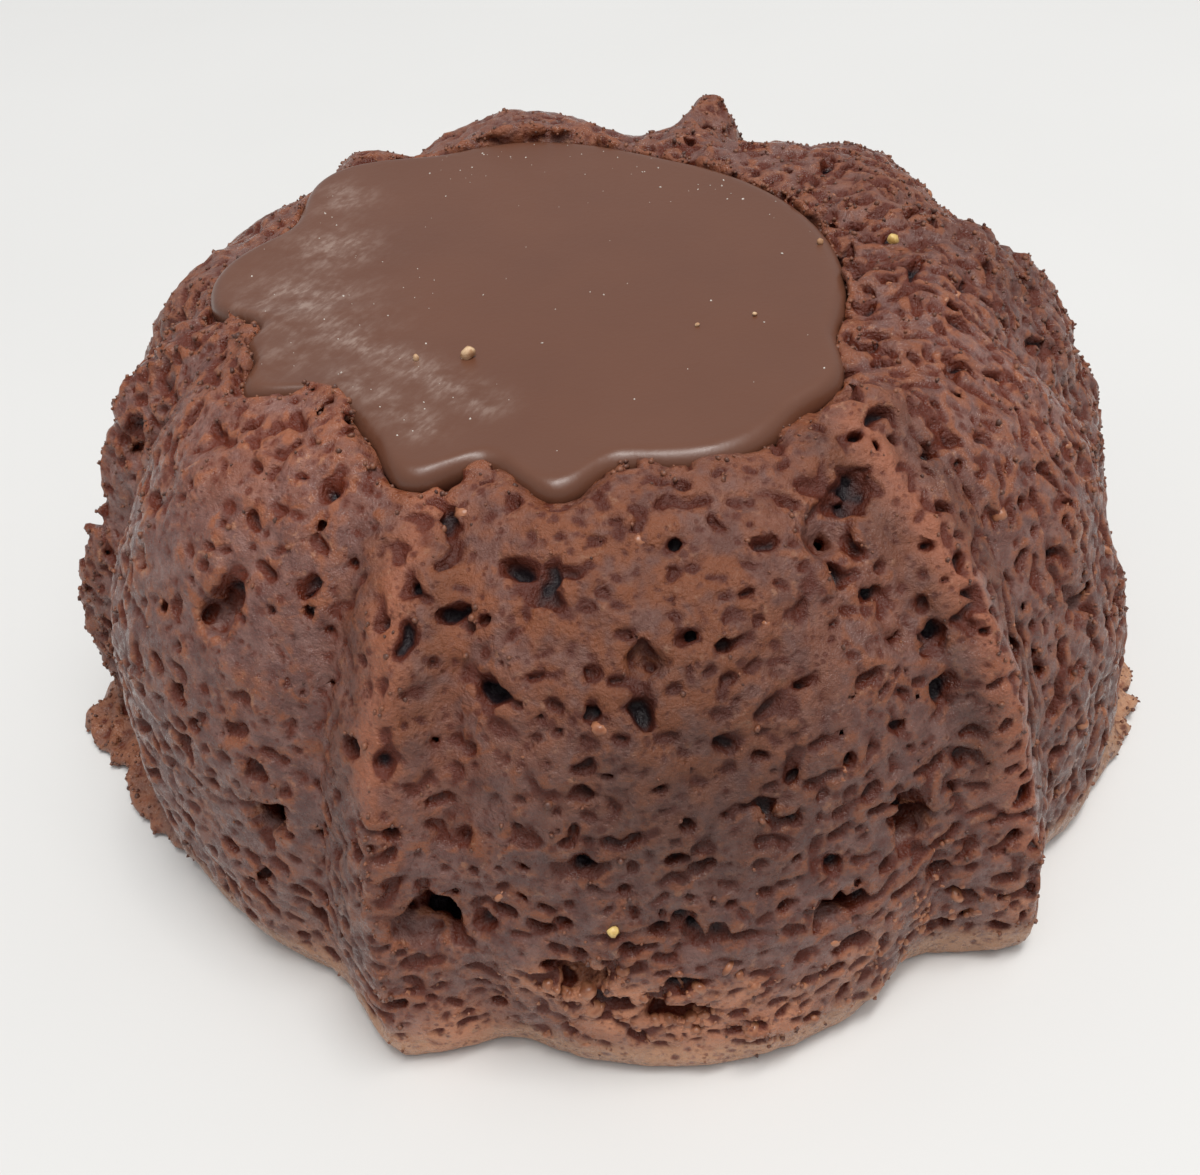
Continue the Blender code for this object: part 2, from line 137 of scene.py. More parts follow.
# The small soft pits that cover the crumb: how many are tried for, their usual width and its spread,
# the crumb left between two of them, and how softly their edges run into the surface.
PIT_TRIES = 45000
PIT_WIDTH = 0.84 * MM
PIT_SPREAD = 0.32
PIT_NARROWEST = 0.45 * MM
PIT_WIDEST = 1.7 * MM
PIT_SHALLOWEST = 0.62 * MM
PIT_GAP = 0.22 * MM
PIT_SOFTNESS = 0.13 * MM
PIT_SHARES = (1.0, 0.8, 0.74, 0.68)  # of that width, for each lump of a pit of one to four lumps
PITLESS_RIM = 3.6 * MM
POOL_DEPTHS = 34.0 * MM  # the level above which the pool's dish lies
SMOOTH_BACK_SHARE = 0.85  # of the pits at the back, which are left out
# Where the pits run together into short slots: middle and half of the stretch in degrees, middle and
# half of it in height, the way that the slots run (0 is level), the lumps of crumb taken by each, and
# how much deeper than the other pits they are.
SLOT_PLACES = (
    (327, 32, 21, 25, 80, 3, 1.7),
    (289, 9, 15, 14, 5, 4, 1.2),
    (266, 24, 10, 7, 0, 2, 1),
    (268, 15, 31, 12, 0, 2, 1),
    (218, 20, 14, 9, -10, 2, 1),
    (18, 30, 24, 16, 70, 2, 1.5),
)

# Where the crumb is warmer in colour: degrees, radius, height, spread, share.
WARM_PLACES = (
    (262, 31, 36, 11, 1), (268, 38, 29, 9, 0.75), (240, 34, 34, 5, 0.9), (240.5, 40, 27, 4, 0.9),
    (295.5, 26, 38, 5, 1), (298, 35, 31, 5, 0.8), (298, 42, 20, 4.5, 0.5), (214, 30, 37.5, 6, 0.5),
    (246, 44, 3.5, 3, 1), (254, 43.5, 9.5, 2.6, 0.8), (260, 44, 6, 2.4, 0.8), (266, 44, 6, 2.6, 0.9),
    (60, 31, 39, 6, 0.6), (110, 32, 36, 12, 0.6), (15, 25, 37.5, 7, 0.7), (336, 47, 4, 6, 0.5),
    (162, 33, 35, 6, 0.8),
)
# Orange-brown patches round the holes low on the front: degrees, radius, height, spread, share.
AMBER_PLACES = (
    (253.3, 43.4, 10, 1.9, 1), (257.3, 43.3, 11, 1.9, 1), (261.8, 43.6, 9.6, 1.8, 1),
    (259, 43.6, 6.6, 2.3, 1), (266.5, 43.9, 6, 2.7, 1), (270.5, 44, 9, 1.6, 0.8),
    (274.8, 44, 6, 2.2, 0.8), (245.5, 44.5, 3.5, 2.8, 1), (282, 43, 8, 2.2, 0.7),
    (298.3, 45.2, 7, 1.9, 0.8), (229, 44, 5, 3, 0.5),
)
# The warm cords along the crests of the two front ridges, and a painted highlight along the edge beside
# one of them: the places along each, its half width and its share.
WARM_CORDS = (
    (((296, 26.7, 38), (296.9, 32.1, 34.8), (297.5, 37.3, 30.3), (298.3, 41.6, 23.1),
      (298.7, 44.3, 13.4)), 1.5, 1),
    (((239.7, 26.6, 37.6), (238.3, 33.7, 34.5), (239.4, 36.4, 32.3), (239.7, 38.8, 29.6),
      (239.2, 41.3, 25)), 1.2, 0.9),
)
EDGE_HIGHLIGHT_LINE = (
    ((299.9, 36.6, 30.9), (300.4, 40.4, 25), (300.8, 42.5, 18.8), (300.8, 43.9, 13.4)), 0.5, 0.5,
)
# Where it is darker or lighter: degrees, radius, height, spread, change. The first, darker down the
# middle of the front lobe, is painted shade.
TONE_PLACES = (
    (267, 41, 24, 11, -0.46), (268, 43, 9, 9, 0.1), (267, 31, 36, 11, -0.16), (240.5, 45, 3, 5, 0.25),
    (338, 46, 3, 6, 0.22), (354, 30, 35, 6, -0.18), (292, 40, 20, 7, -0.14), (214, 30, 37.5, 9, 0.28),
    (182, 38, 30, 9, 0.22), (320, 42, 8, 9, -0.16), (330, 31, 35, 9, 0.18), (268, 44, 1, 7, 0.2),
)

# Painted shade: darker lines in the dips beside the two front ridges: the places along each, half width,
# change.
DIP_SHADE_LINES = (
    (((291.5, 26.5, 38), (292.5, 31, 35.5), (293.3, 34.5, 33), (294, 38.5, 28),
      (294.6, 41, 22)), 1.5, 0.34),
    (((303, 28, 37), (303.5, 33, 33.5), (303.5, 37.5, 28), (303.5, 40.5, 21),
      (303.5, 42.5, 13)), 1.7, 0.26),
    (((243.5, 31, 36), (243.7, 36, 32), (243.5, 39.5, 28)), 1.3, 0.28),
    (((234.8, 31, 36.5), (235, 36, 32), (235, 40, 26), (235.3, 42.5, 19),
      (236, 44, 10)), 1.6, 0.2),
)

# Whitish bloom on the pool: x, y, spread, share; and the ends of two rubbed bands, their half width.
BLOOM_PLACES = (
    (-18.5, 16.0, 2.6, 0.8),
    (-19.5, 7.8, 3.2, 1.0),
    (-22.0, 0.4, 4.2, 1.0),
    (-19.5, -4.5, 3.4, 0.8),
    (-23.0, -7.0, 2.4, 0.5),
)
BLOOM_BANDS = (
    ((-18.6, -5.5), (-10.2, -16.0), 1.5, 0.9),
    ((-19.0, -10.5), (-14.2, -18.0), 1.5, 0.8),
)

# Small things that lie on the cake.
LOOSE_CRUMBS = 4200
LOOSE_SIZE = (0.24 * MM, 0.62 * MM)
LOWEST_FACING = -0.7  # crumbs cling where the surface's normal points up by more than this
WARM_GRAINS = 420
WARM_GRAIN_SIZE = (0.5 * MM, 1.5 * MM)
SPECKS = 130
SPECK_SIZE = (0.1 * MM, 0.26 * MM)
POOL_CRUMBS = (  # x, y, size
    (-10.7, -10.0, 1.3),
    (16.4, -1.8, 0.6),
    (9.3, -10.0, 0.45),
    (5.2, -10.1, 0.4),
    (-14.2, -9.6, 0.6),
)
GOLD_FLECKS = (  # x, y, z of the place beside it, size
    (21.7, -1.9, 38.5, 1.1),
    (-7.5, -42.6, 16.0, 0.95),
)

# The pool of ganache.
POOL_SPOKES = 480
POOL_TOP_RINGS = 44
POOL_LIP_STEPS = 18
POOL_UNDER_RINGS = 6
POOL_WAVES = 60.0  # about how many waves round its outline are kept

# The eight corners of a grid's cell, and the steps to the 27 cells round and at one.
CORNERS = list(np.ndindex(2, 2, 2))
NEIGHBOURS = [(i - 1, j - 1, k - 1) for i, j, k in np.ndindex(3, 3, 3)]


class Grid:
    """Evenly spaced points in a box."""

    def __init__(self, low, high, cell):
        self.cell = cell
        self.low = np.array(low)
        self.shape = tuple(int(n) + 1 for n in np.ceil((np.array(high) - self.low) / cell))

    def axis(self, number):
        return self.low[number] + self.cell * np.arange(self.shape[number])

    def sample(self, values, points):
        """The values between the grid's points, at these places."""
        at = (points - self.low) / self.cell
        at = np.clip(at, 0.0, np.array(self.shape) - 1.001)
        lower = at.astype(int)
        total = np.zeros(len(points))
        for corner in CORNERS:
            weight = np.prod(np.abs(1 - np.array(corner) - (at - lower)), axis=1)
            total += weight * values[tuple((lower + corner).T)]
        return total


def smooth_step(share):
    share = np.clip(share, 0.0, 1.0)
    return share * share * (3.0 - 2.0 * share)


def rising(height, start, width):
    """0 up to the start and 1 past the width beyond it, both in millimetres."""
    return smooth_step((height - start * MM) / (width * MM))


def falling(height, start, width):
    """1 down at the width below the start and 0 above it, both in millimetres."""
    return smooth_step((start * MM - height) / (width * MM))


def angle_of(x, y):
    """Degrees round from +X towards +Y."""
    return np.degrees(np.arctan2(y, x)) % 360.0


def round_swell(degrees, middle, half):
    """1 at the middle of a stretch of the round, falling smoothly to 0 at its ends."""
    away = np.abs((degrees - middle + 180.0) % 360.0 - 180.0)
    return smooth_step(1.0 - away / half)


def shaped(weights, axis):
    shape = [1, 1, 1]
    shape[axis] = -1
    return np.asarray(weights, np.float32).reshape(shape)


def between(values, at, axis, eased=np.asarray):
    """The values at these places along an axis, worked out from those on either side."""
    lower = at.astype(int)
    share = eased(shaped(at - lower, axis))
    return np.take(values, lower, axis) * (1.0 - share) + np.take(values, lower + 1, axis) * share


def refined(values, coarse, fine):
    """The coarse grid's values at the fine grid's points."""
    for axis in range(3):
        at = (fine.axis(axis) - coarse.low[axis]) / coarse.cell
        values = between(values, np.clip(at, 0.0, coarse.shape[axis] - 1.001), axis)
    return values


def soft_noise(grid, spacing, draw):
    """A smooth random field of mean 0 and spread 1. Its lumps are about twice the spacing wide."""
    counts = [int(n * grid.cell / spacing) + 5 for n in grid.shape]
    values = draw.standard_normal(counts).astype(np.float32)
    for axis in range(3):
        at = np.arange(grid.shape[axis]) * grid.cell / spacing
        lower = at.astype(int)
        t = at - lower
        weights = ((1 - t) ** 3, 3 * t**3 - 6 * t**2 + 4, -3 * t**3 + 3 * t**2 + 3 * t + 1, t**3)
        total = 0.0
        for number, weight in enumerate(weights):
            total = total + np.take(values, lower + number, axis) * shaped(weight / 6.0, axis)
        values = total
    return values / values.std()


def softened(values):
    """Each point's value mixed with its neighbours', which rounds the edges of the pores."""
    for axis in range(3):
        ahead = np.roll(values, -1, axis)
        behind = np.roll(values, 1, axis)
        values = values * 0.6 + (ahead + behind) * 0.2
    return values


def box_blurred(values, reach):
    """The mean over a small box round each point."""
    width = 2 * reach + 1
    for axis in range(3):
        padding = [(0, 0)] * 3
        padding[axis] = (reach + 1, reach)
        sums = np.cumsum(np.pad(values, padding, mode="edge"), axis=axis, dtype=np.float32)
        count = values.shape[axis]
        upper = np.take(sums, np.arange(width, width + count), axis)
        values = (upper - np.take(sums, np.arange(count), axis)) / width
    return values


def tree_of(node):
    mesh = node.data
    mesh.calc_loop_triangles()
    points = [v.co.copy() for v in mesh.vertices]
    return BVHTree.FromPolygons(points, [tuple(t.vertices) for t in mesh.loop_triangles])


def inside_of(tree, grid):
    """Which of the grid's points lie in a closed solid: each upward ray goes in and out of it."""
    inside = np.zeros(grid.shape, bool)
    heights = grid.axis(2)
    nudge = grid.cell * 0.0037  # keeps the rays off the solid's own points
    for i, x in enumerate(grid.axis(0)):
        for j, y in enumerate(grid.axis(1)):
            walls = []
            start = Vector((x + nudge, y + nudge, heights[0]))
            hit = tree.ray_cast(start, UP)[0]
            while hit:
                walls.append(hit.z)
                hit = tree.ray_cast(hit + UP * nudge, UP)[0]
            for low, high in zip(walls[::2], walls[1::2]):
                inside[i, j] |= (heights > low) & (heights < high)
    return inside


def spread_true(mask, reach):
    """The mask grown by this many points each way."""
    one_of_box = 1.0 / (2 * reach + 1) ** 3
    return box_blurred(mask.astype(np.float32), reach) > 0.5 * one_of_box


def signed_distance(tree, grid):
    """Distance from the solid's surface, below zero inside it, worked out near the surface alone."""
    inside = inside_of(tree, grid)
    near = spread_true(inside, int(REACH_OUT / grid.cell))
    near &= spread_true(~inside, int(REACH_IN / grid.cell))
    distance = np.full(grid.shape, REACH_IN, np.float32)
    axes = [grid.axis(n) for n in range(3)]
    for i, j, k in np.argwhere(near):
        point = Vector((axes[0][i], axes[1][j], axes[2][k]))
        distance[i, j, k] = tree.find_nearest(point)[3]
    return np.where(inside, -distance, distance)


def surface_of(values, grid):
    """(points, four-sided faces) of the surface on which the values pass through zero."""
    inside = values < 0.0
    nx, ny, nz = (n - 1 for n in grid.shape)
    count = np.zeros((nx, ny, nz), np.int8)
    for dx, dy, dz in CORNERS:
        count += inside[dx : nx + dx, dy : ny + dy, dz : nz + dz]
    crossed = (count > 0) & (count < len(CORNERS))
    cells = np.argwhere(crossed)
    numbers = np.full((nx, ny, nz), -1, np.int32)
    numbers[crossed] = np.arange(len(cells))
    at_corner = {corner: values[tuple((cells + corner).T)] for corner in CORNERS}
    total = np.zeros((len(cells), 3))
    crossings = np.zeros(len(cells))
    for first in CORNERS:
        for axis in range(3):
            if first[axis]:
                continue
            second = tuple(1 if n == axis else c for n, c in enumerate(first))
            a = at_corner[first]
            b = at_corner[second]
            changes = (a < 0.0) != (b < 0.0)
            place = np.tile(np.array(first, float), (len(cells), 1))
            place[:, axis] = np.where(changes, a / np.where(changes, a - b, 1.0), 0.0)
            total += place * changes[:, None]
            crossings += changes
    points = grid.low + (cells + total / crossings[:, None]) * grid.cell
    return points, np.concatenate([faces_across(inside, numbers, axis) for axis in range(3)])


def faces_across(inside, numbers, axis):
    """A face round each of the grid's edges along this axis that goes in or out of the solid."""
    one, two = [n for n in range(3) if n != axis]
    ahead = [slice(1, -1)] * 3
    behind = [slice(1, -1)] * 3
    ahead[axis] = slice(1, None)
    behind[axis] = slice(None, -1)
    goes_in = inside[tuple(ahead)] & ~inside[tuple(behind)]
    goes_out = ~inside[tuple(ahead)] & inside[tuple(behind)]
    faces = []
    for mask, flip in ((goes_in, axis != 1), (goes_out, axis == 1)):
        at = np.argwhere(mask)
        at[:, one] += 1
        at[:, two] += 1
        ring = []
        for step_one, step_two in ((1, 1), (0, 1), (0, 0), (1, 0)):
            cell = at.copy()
            cell[:, one] -= step_one
            cell[:, two] -= step_two
            ring.append(numbers[tuple(cell.T)])
        ring = np.stack(ring, axis=1)
        faces.append(ring[:, ::-1] if flip else ring)
    return np.concatenate(faces)


def largest_body(points, faces):
    """The points and faces of the largest connected surface, without sealed hollows and scraps."""
    labels = np.arange(len(points))
    pairs = np.concatenate([faces[:, [0, 1]], faces[:, [1, 2]], faces[:, [2, 3]]])
    while True:
        ends = labels[pairs]
        low = ends.min(axis=1)
        high = ends.max(axis=1)
        apart = low != high
        if not apart.any():
            break
        labels[high[apart]] = low[apart]
        while (labels[labels] != labels).any():
            labels = labels[labels]
    values, counts = np.unique(labels, return_counts=True)
    kept = labels == values[counts.argmax()]
    renumbered = np.cumsum(kept) - 1
    return points[kept], renumbered[faces[kept[faces[:, 0]]]]


def mesh_of(name, points, faces):
    """A mesh whose faces all have as many sides."""
    mesh = bpy.data.meshes.new(name)
    mesh.vertices.add(len(points))
    mesh.vertices.foreach_set("co", np.asarray(points, np.float32).ravel())
    mesh.loops.add(faces.size)
    mesh.loops.foreach_set("vertex_index", np.asarray(faces, np.int32).ravel())
    mesh.polygons.add(len(faces))
    starts = np.arange(len(faces), dtype=np.int32) * faces.shape[1]
    mesh.polygons.foreach_set("loop_start", starts)
    mesh.update(calc_edges=True)
    mesh.validate()
    return mesh


def add_object(name, data):
    thing = bpy.data.objects.new(name, data)
    bpy.context.scene.collection.objects.link(thing)
    return thing


def points_of(mesh):
    points = np.empty(len(mesh.vertices) * 3, np.float32)
    mesh.vertices.foreach_get("co", points)
    return points.reshape(-1, 3).astype(np.float64)


def set_attribute(mesh, name, values):
    attribute = mesh.attributes.new(name, "FLOAT", "POINT")
    attribute.data.foreach_set("value", np.asarray(values, np.float32))


def thinned(mesh, most):
    """The mesh with its flattest triangles merged until few enough are left."""
    mesh.calc_loop_triangles()
    helper = add_object("thinning", mesh)
    decimate = helper.modifiers.new("thin", "DECIMATE")
    decimate.ratio = min(1.0, most / len(mesh.loop_triangles))
    bpy.context.view_layer.update()
    graph = bpy.context.evaluated_depsgraph_get()
    thin = bpy.data.meshes.new_from_object(helper.evaluated_get(graph))
    bpy.data.objects.remove(helper, do_unlink=True)
    bpy.data.meshes.remove(mesh)
    return thin


class Pool:
    """The pool's outline and levels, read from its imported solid."""

    def __init__(self, node):
        points = points_of(node.data)
        self.top = points[:, 2].max()
        self.bottom = points[:, 2].min()
        self.half = (self.top - self.bottom) / 2.0
        inner = points[:, 2] > self.top - self.half * 0.45
        middle = points[inner][points[inner][:, 2].argmin()]
        self.centre = middle[:2]
        self.dish = self.top - middle[2]
        edge = points[np.abs(points[:, 2] - self.top + self.half) < 0.02 * MM]
        away = edge[:, :2] - self.centre
        angles = angle_of(away[:, 0], away[:, 1])
        order = np.argsort(angles)
        self.angles = angles[order]
        self.radii = np.hypot(away[:, 0], away[:, 1])[order]

    def reach(self, degrees):
        return np.interp(degrees, self.angles, self.radii, period=360.0)

    def height(self, x, y):
        """The height of the pool's top at this place."""
        x = x - self.centre[0]
        y = y - self.centre[1]
        share = np.hypot(x, y) / (self.reach(angle_of(x, y)) - self.half)
        return float(self.top - self.dish * (1.0 - np.minimum(share, 1.0) ** 3))

    def around(self, x, y):
        """The direction from the pool's centre, and how far beyond its outline these places are."""
        x = x - self.centre[0]
        y = y - self.centre[1]
        angle = angle_of(x, y)
        return angle, np.hypot(x, y) - self.reach(angle)


def slot_at(degrees, height):
    """How strongly the pits run together here, and the way, lumps and depth of these."""
    found = (0.0, 0.0, 1, 1.0)
    for middle, half, level, reach, *kind in SLOT_PLACES:
        away = abs((degrees - middle + 180.0) % 360.0 - 180.0) / half
        share = 1.0 - max(away, abs(height - level * MM) / (reach * MM))
        if share > found[0]:
            found = (share, *kind)
    return found


def pit_places(node, pool, draw):
    """(place, facing, width, way, lumps, depth) of each pit, spread over the solid apart."""
    mesh = node.data
    mesh.calc_loop_triangles()
    corners = np.array([[mesh.vertices[n].co for n in t.vertices] for t in mesh.loop_triangles])
    square = np.cross(corners[:, 1] - corners[:, 0], corners[:, 2] - corners[:, 0])
    area = np.linalg.norm(square, axis=1)
    chosen = draw.choice(len(corners), PIT_TRIES, p=area / area.sum())
    one, two = draw.random((2, PIT_TRIES, 1))
    fold = one + two > 1.0
    one, two = np.where(fold, 1.0 - one, one), np.where(fold, 1.0 - two, two)
    corners = corners[chosen]
    places = corners[:, 0] + one * (corners[:, 1] - corners[:, 0]) + two * (corners[:, 2] - corners[:, 0])
    facings = square[chosen] / area[chosen][:, None]
    _, beside = pool.around(places[:, 0], places[:, 1])
    angles = angle_of(places[:, 0], places[:, 1])
    widths = PIT_WIDTH * np.exp(PIT_SPREAD * draw.standard_normal(PIT_TRIES))
    back = round_swell(angles, 60.0, 130.0)
    widths = np.clip(widths * (1.0 - 0.25 * back), PIT_NARROWEST, PIT_WIDEST)
    skipped = (places[:, 2] < PITLESS_RIM) | ((beside < 0.5 * MM) & (places[:, 2] > POOL_DEPTHS))
    far_back = (round_swell(angles, 105.0, 55.0) > 0.3) & (beside > 6.0 * MM)
    skipped |= (draw.random(PIT_TRIES) < SMOOTH_BACK_SHARE) & far_back
    cell = PIT_WIDEST + PIT_GAP
    taken = {}
    pits = []
    for number in np.flatnonzero(~skipped):
        place = places[number]
        width = widths[number]
        share, way, lumps, deeper = slot_at(angles[number], place[2])
        slot = share > 0.0 and draw.random() < 0.35 + share
        home = tuple(int(n) for n in np.floor(place / cell))
        near = [(home[0] + i, home[1] + j, home[2] + k) for i, j, k in NEIGHBOURS]
        others = [other for at in near for other in taken.get(at, ())]
        room = width / 2.0 + PIT_GAP * draw.uniform(0.3, 1.7) * (0.35 if slot else 1.0)
        if any(np.abs(other[0] - place).max() < room + other[1] for other in others):
            continue
        taken.setdefault(home, []).append((place, width / 2.0))
        turn = math.radians(way + 20.0 * draw.standard_normal())
        if not slot:
            turn = 0.6 * draw.standard_normal()
            lumps = draw.integers(1, 4)
        pits.append((place, facings[number], width, turn, lumps, deeper))
    return pits


def axes_on(facing):
    """Two directions along a surface that faces this way, the first of them level."""
    across = UP.cross(facing)
    across = across.normalized() if across.length > 0.05 else Vector((1.0, 0.0, 0.0))
    return across, facing.cross(across)


def cut_pits(values, grid, pits, draw):
    """The small soft pits, each one or a few round lumps taken out of the surface."""
    for place, facing, width, turn, lumps, deeper in pits:
        facing = Vector(facing)
        across, upwards = axes_on(facing)
        middle = Vector(place)
        width *= PIT_SHARES[lumps - 1]
        deep = max(width, PIT_SHALLOWEST) * draw.uniform(0.35, 1.45) * deeper
        for _ in range(lumps):
            size = width * draw.uniform(0.75, 1.15)
            along = across * math.cos(turn) + upwards * math.sin(turn)
            sideways = facing.cross(along)
            stretch = draw.uniform(1.0, 1.3)
            halves = ((along, size * stretch / 2.0), (sideways, size / stretch / 2.0), (facing, deep))
            take_lump(values, grid, middle, halves, size / 2.0)
            turn += 0.7 * draw.standard_normal()
            middle = middle + along * (width * 0.62)


def take_lump(values, grid, middle, halves, size):
    """One rounded lump taken out of the field, with a soft edge."""
    reach = max(half for _, half in halves) * 1.25 + PIT_SOFTNESS
    block, away = ellipsoid(grid, middle, reach, halves, 1)
    hollow = (1.0 - away) * size
    solid = values[block]
    blend = np.maximum(PIT_SOFTNESS - np.abs(hollow - solid), 0.0)
    values[block] = np.maximum(solid, hollow) + blend * blend / (4.0 * PIT_SOFTNESS)


def ellipsoid(grid, middle, reach, halves, spare):
    """A block of the grid round a place, with spare points past its end, and the distances in it.

    The distances are 1 on the ellipsoid that has these half axes.
    """
    first = np.floor((np.array(middle) - reach - grid.low) / grid.cell).astype(int)
    last = np.ceil((np.array(middle) + reach - grid.low) / grid.cell).astype(int) + spare
    block = tuple(slice(a, b) for a, b in zip(np.maximum(first, 0), np.minimum(last, grid.shape)))
    offsets = [shaped(grid.axis(n)[block[n]] - middle[n], n) for n in range(3)]
    total = 0.0
    for way, half in halves:
        total = total + (sum(way[n] * offsets[n] for n in range(3)) / half) ** 2
    return block, np.sqrt(total)


def crumb_field(grid, distance, pool, draw):
    """The crumb's own distance field: the solid's, made uneven and opened by pores."""
    x = shaped(grid.axis(0), 0)
    y = shaped(grid.axis(1), 1)
    z = shaped(grid.axis(2), 2)
    angle = angle_of(x, y)
    pool_angle, beside = pool.around(x, y)
    clear_of_base = rising(z, 0.2, 1.2)
    rim = falling(z, 4.6, 1.6)
    low_front = round_swell(angle, *LOW_FRONT) * falling(z, 19.0, 7.0) * (1.0 - rim)
    top_edge = rising(z, 31.0, 4.0)
    craggy = sum(share * round_swell(angle, middle, half) for middle, half, share in CRAGS)
    grainy = round_swell(angle, *GRAINY_RIGHT) * rising(z, 14.0, 8.0)
    grainy = np.maximum(grainy, round_swell(angle, *GRAINY_LEFT))
    skirt = sum(round_swell(angle, *stretch) for stretch in SKIRTS)
    skirt = np.minimum(1.0, 2.5 * skirt) * falling(z, 3.2, 1.2)
    back = round_swell(angle, *BACK) * falling(z, 34.0, 5.0)

    lumps = (0.07 + 0.05 * top_edge + 0.12 * craggy) * MM * soft_noise(grid, 1.6 * MM, draw)
    lumps += (0.05 + 0.04 * craggy + 0.03 * grainy) * MM * soft_noise(grid, 0.75 * MM, draw)
    lumps += (0.05 + 0.04 * grainy) * MM * soft_noise(grid, 0.3 * MM, draw)
    filled = falling(beside, 0.8, 0.5) * rising(z, 34.0, 0.6)
    body = distance + lumps * clear_of_base - filled * (POOL_GAP + 0.05 * MM)
    body = body + skirt * SKIRT_RAGGEDNESS * soft_noise(grid, 0.7 * MM, draw)
    body = np.maximum(body, -z)  # the base stays flat
    groove = sum(round_swell(pool_angle, middle, half) for middle, half in OPEN_LIPS)
    groove = SHALLOW_GROOVE + (LIP_GROOVE - SHALLOW_GROOVE) * np.minimum(groove, 1.0)
    groove = groove - np.hypot(beside - POOL_GAP, z - pool.top)
    body = np.maximum(body, groove + 0.6 * lumps)

    values = body
    ragged = 0.2 * soft_noise(grid, 0.36 * MM, draw)
    for number, (spacing, size, (rarity, at_rim, at_back), depth) in enumerate(PORES):
        threshold = rarity + at_rim * rim + at_back * back + 0.3 * low_front
        if number == 0:
            threshold = threshold - 0.6 * grainy
        pores = size * MM * (soft_noise(grid, spacing * MM, draw) + ragged - threshold) * clear_of_base
        values = np.maximum(values, np.minimum(pores, body + depth * MM))
    return body, np.where(z > 0.15 * MM, values, body)


def cut_holes(values, grid, tree, draw):
    """The single holes: ragged hollows, each square to the surface where it opens."""
    rays = []
    for degrees, height, *sizes in HOLES:
        outwards = outward(degrees)
        rays.append((outwards * BESIDE_CAKE + UP * (height * MM), -outwards, sizes))
    for degrees, radius, *sizes in TOP_HOLES:
        rays.append((outward(degrees) * (radius * MM) + UP * ABOVE_CAKE, -UP, sizes))
    for start, way, sizes in rays:
        width, tall, depth = (size * MM for size in sizes)
        place, facing, _, _ = tree.ray_cast(start, way)
        across, upwards = axes_on(facing)
        halves = ((across, width / 2.0), (upwards, tall / 2.0), (facing, depth))
        block, away = ellipsoid(grid, place, max(width, tall, depth * 2.0) * 0.8, halves, 0)
        ragged = soft_block(values[block].shape, grid.cell, HOLE_EDGE_SPACING, draw)
        hollow = (1.0 - away + HOLE_RAGGEDNESS * ragged) * min(width, tall) / 2.0
        values[block] = np.maximum(values[block], hollow)


def outward(degrees):
    return Vector((math.cos(math.radians(degrees)), math.sin(math.radians(degrees)), 0.0))


def soft_block(shape, cell, spacing, draw):
    """A small smooth random field."""
    lattice = draw.standard_normal([int(n * cell / spacing) + 5 for n in shape])
    for axis in range(3):
        lattice = between(lattice, np.arange(shape[axis]) * cell / spacing, axis, smooth_step)
    return lattice


def make_crumb(pool):
    low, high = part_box("cake")
    margin = Vector([GRID_MARGIN] * 3)
    coarse = Grid(low - margin, high + margin, COARSE_CELL)
    fine = Grid(low - margin, high + margin, FINE_CELL)
    tree = tree_of(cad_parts["cake"])
    distance = refined(signed_distance(tree, coarse), coarse, fine)
    draw = np.random.default_rng(SEED)
    body, values = crumb_field(fine, distance, pool, draw)
    values = values.copy()
    cut_pits(values, fine, pit_places(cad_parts["cake"], pool, draw), draw)
    cut_holes(values, fine, tree, draw)
    values = softened(values)
    points, faces = largest_body(*surface_of(values, fine))
    mesh = thinned(mesh_of("crumb", points, faces), CRUMB_TRIANGLES)
    mesh.shade_smooth()
    places = points_of(mesh)
    solid = (values < 0.0).astype(np.float32)
    whole = (distance < 0.0).astype(np.float32)
    set_attribute(mesh, "near_solid", fine.sample(box_blurred(box_blurred(solid, 1), 1), places))
    set_attribute(mesh, "crest", fine.sample(box_blurred(box_blurred(whole, 8), 6), places))
    set_attribute(mesh, "depth_mm", np.maximum(0.0, -fine.sample(body, places)) / MM)
    mark_colours(mesh, places)
    return add_object("crumb", mesh)


def mark_colours(mesh, places):
    """Where the crumb's colours differ, as shares for its material."""
    x, y, height = places.T
    angle = angle_of(x, y)
    back = np.minimum(1.0, 2.0 * round_swell(angle, 95.0, 85.0))
    back = back * falling(height, 37.0, 4.0) * rising(np.hypot(x, y), 27.0, 4.0)
    left_skirt = np.minimum(1.0, 2.0 * round_swell(angle, 190.0, 30.0))
    cords = np.maximum(*[near_line(places, *cord) for cord in WARM_CORDS])
    dip_shade = sum(near_line(places, *dip) for dip in DIP_SHADE_LINES)
    shares = {
        "warmth": near_places(places, WARM_PLACES) * 0.8,
        "cords": cords,
        "back": back,
        "rim": falling(height, 5.0, 2.5) * (1.0 - 0.8 * left_skirt),
        "edge_highlight": near_line(places, *EDGE_HIGHLIGHT_LINE),
        "amber": near_places(places, AMBER_PLACES),
        # The tone carries the painted shade of the dips.
        "tone": (1.0 + near_places(places, TONE_PLACES) + 0.14 * cords) * (1.0 - dip_shade),
    }
    for name, values in shares.items():
        set_attribute(mesh, name, values)


def near_places(points, marked):
    """How strongly the marked places tell at these points."""
    total = np.zeros(len(points))
    for *place, spread, share in marked:
        total += fading(np.linalg.norm(points - placed([place])[0], axis=1), spread, share)
    return np.clip(total, -1.0, 1.0)


def placed(marked):
    """The points of places given by degrees, radius and height."""
    turns = np.radians([degrees for degrees, _, _ in marked])
    radii = np.array([radius for _, radius, _ in marked]) * MM
    heights = [height * MM for _, _, height in marked]
    return np.stack([radii * np.cos(turns), radii * np.sin(turns), heights], axis=1)


def fading(away, reach, share):
    """A share that fades with the distance; the reach is in millimetres."""
    return share * np.exp(-((away / (reach * MM)) ** 2))


